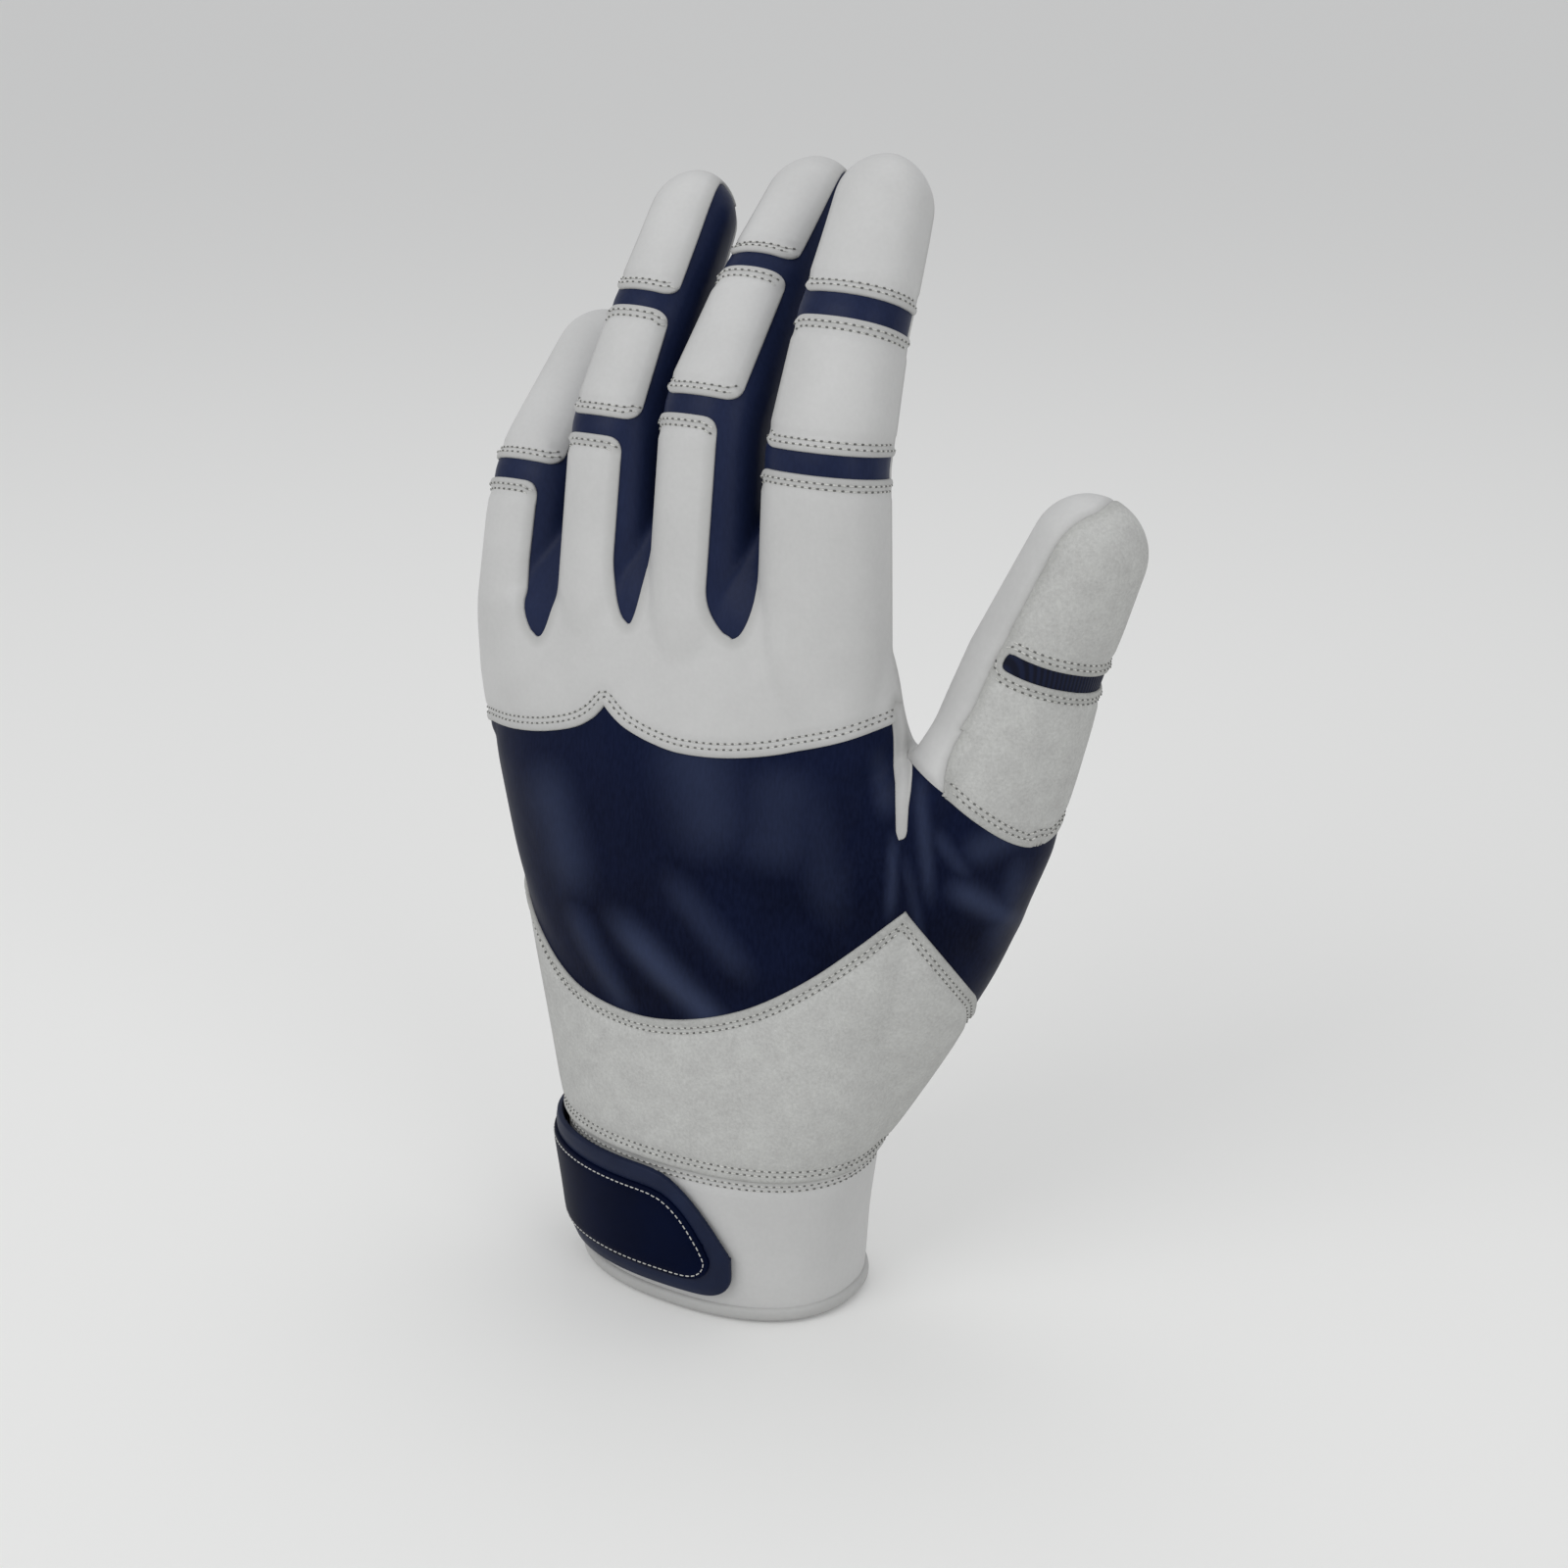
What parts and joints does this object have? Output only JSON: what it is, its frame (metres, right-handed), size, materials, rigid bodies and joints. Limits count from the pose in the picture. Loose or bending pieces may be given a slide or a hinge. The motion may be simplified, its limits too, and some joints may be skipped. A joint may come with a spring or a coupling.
{
  "type": "batting glove",
  "caption": "Left-hand sports glove in pale leather with dark stretch inserts, five jointed digits, open cuff and a wrist strap that peels open.",
  "frame": {"origin": "middle of the open cuff at its hem, where the hand goes in", "axes": "+Z towards the fingertips, -Y out of the back of the hand, +X towards the thumb"},
  "size_m": [0.1269, 0.0671, 0.2187],
  "materials": {
    "leather": "smooth pale grey-white leather",
    "suede": "fine-napped pale suede",
    "stretch": "dark navy stretch knit with a soft sheen",
    "strap": "dark navy moulded strap",
    "hook_and_loop": "black-navy hook and loop tape"
  },
  "bodies": {
    "hand": {"palm_leather": "leather", "knuckle_panel": "leather", "back_panel": "stretch", "wrist_panel": "suede", "web_tongue": "leather", "ring_little_web": "stretch", "middle_ring_web": "stretch", "index_middle_web": "stretch", "cuff": "leather", "cuff_binding": "leather", "loop_patch": "hook_and_loop", "strap_anchor": "strap"},
    "wrist_strap": {"strap": "strap", "strap_panel": "strap", "hook_patch": "hook_and_loop"},
    "index_base": {"index_proximal_back": "leather", "index_proximal_palm": "leather", "index_proximal_stretch": "stretch"},
    "index_mid": {"index_middle_back": "leather", "index_middle_palm": "leather", "index_middle_stretch": "stretch"},
    "index_end": {"index_tip_back": "leather", "index_tip_palm": "leather", "index_tip_stretch": "stretch"},
    "middle_base": {"middle_proximal_back": "leather", "middle_proximal_palm": "leather", "middle_proximal_stretch": "stretch"},
    "middle_mid": {"middle_middle_back": "leather", "middle_middle_palm": "leather", "middle_middle_stretch": "stretch"},
    "middle_end": {"middle_tip_back": "leather", "middle_tip_palm": "leather", "middle_tip_stretch": "stretch"},
    "ring_base": {"ring_proximal_back": "leather", "ring_proximal_palm": "leather", "ring_proximal_stretch": "stretch"},
    "ring_mid": {"ring_middle_back": "leather", "ring_middle_palm": "leather", "ring_middle_stretch": "stretch"},
    "ring_end": {"ring_tip_back": "leather", "ring_tip_palm": "leather", "ring_tip_stretch": "stretch"},
    "little_base": {"little_proximal_back": "leather", "little_proximal_palm": "leather", "little_proximal_stretch": "stretch"},
    "little_end": {"little_tip_back": "leather", "little_tip_palm": "leather", "little_tip_stretch": "stretch"},
    "thumb_base": {"thumb_proximal_back": "suede", "thumb_proximal_palm": "leather", "thumb_insert": "stretch"},
    "thumb_end": {"thumb_tip_back": "suede", "thumb_tip_palm": "leather"}
  },
  "joints": [
    {"name": "strap_peel", "type": "hinge", "parent": "hand", "child": "wrist_strap", "pos_m": [-0.0376, 0.005, 0.0184], "axis": [0, 0, -1], "range_deg": [0, 110]},
    {"name": "index_root", "type": "hinge", "parent": "hand", "child": "index_base", "pos_m": [0.0242, 0.0067, 0.137], "axis": [-1, 0, 0], "range_deg": [0, 65]},
    {"name": "index_first_bend", "type": "hinge", "parent": "index_base", "child": "index_mid", "pos_m": [0.0242, 0.00694, 0.16651], "axis": [-1, 0, 0], "range_deg": [-11, 60]},
    {"name": "index_second_bend", "type": "hinge", "parent": "index_mid", "child": "index_end", "pos_m": [0.0242, 0.0136, 0.187], "axis": [-1, 0, 0], "range_deg": [-11, 45]},
    {"name": "middle_root", "type": "hinge", "parent": "hand", "child": "middle_base", "pos_m": [0.0003, 0.0055, 0.13697], "axis": [-1, 0, 0], "range_deg": [0, 65]},
    {"name": "middle_first_bend", "type": "hinge", "parent": "middle_base", "child": "middle_mid", "pos_m": [0.0003, 0.00909, 0.1689], "axis": [-1, 0, 0], "range_deg": [-11, 60]},
    {"name": "middle_second_bend", "type": "hinge", "parent": "middle_mid", "child": "middle_end", "pos_m": [0.0003, 0.02392, 0.18722], "axis": [-1, 0, 0], "range_deg": [-11, 45]},
    {"name": "ring_root", "type": "hinge", "parent": "hand", "child": "ring_base", "pos_m": [-0.0211, 0.0051, 0.13596], "axis": [-1, 0, 0], "range_deg": [0, 65]},
    {"name": "ring_first_bend", "type": "hinge", "parent": "ring_base", "child": "ring_mid", "pos_m": [-0.0211, 0.00885, 0.16461], "axis": [-1, 0, 0], "range_deg": [-11, 60]},
    {"name": "ring_second_bend", "type": "hinge", "parent": "ring_mid", "child": "ring_end", "pos_m": [-0.0211, 0.01901, 0.18295], "axis": [-1, 0, 0], "range_deg": [-11, 45]},
    {"name": "little_root", "type": "hinge", "parent": "hand", "child": "little_base", "pos_m": [-0.0423, 0.00629, 0.13094], "axis": [-1, 0, 0], "range_deg": [0, 65]},
    {"name": "little_bend", "type": "hinge", "parent": "little_base", "child": "little_end", "pos_m": [-0.0423, 0.01031, 0.15181], "axis": [-1, 0, 0], "range_deg": [-11, 60]},
    {"name": "thumb_root", "type": "hinge", "parent": "hand", "child": "thumb_base", "pos_m": [0.03936, 0.01756, 0.10556], "axis": [0.4836, 0.8377, -0.2537], "range_deg": [-24, 0]},
    {"name": "thumb_bend", "type": "hinge", "parent": "thumb_base", "child": "thumb_end", "pos_m": [0.04827, 0.02081, 0.13328], "axis": [0.482, 0.8348, -0.266], "range_deg": [-60, 8]}
  ]
}
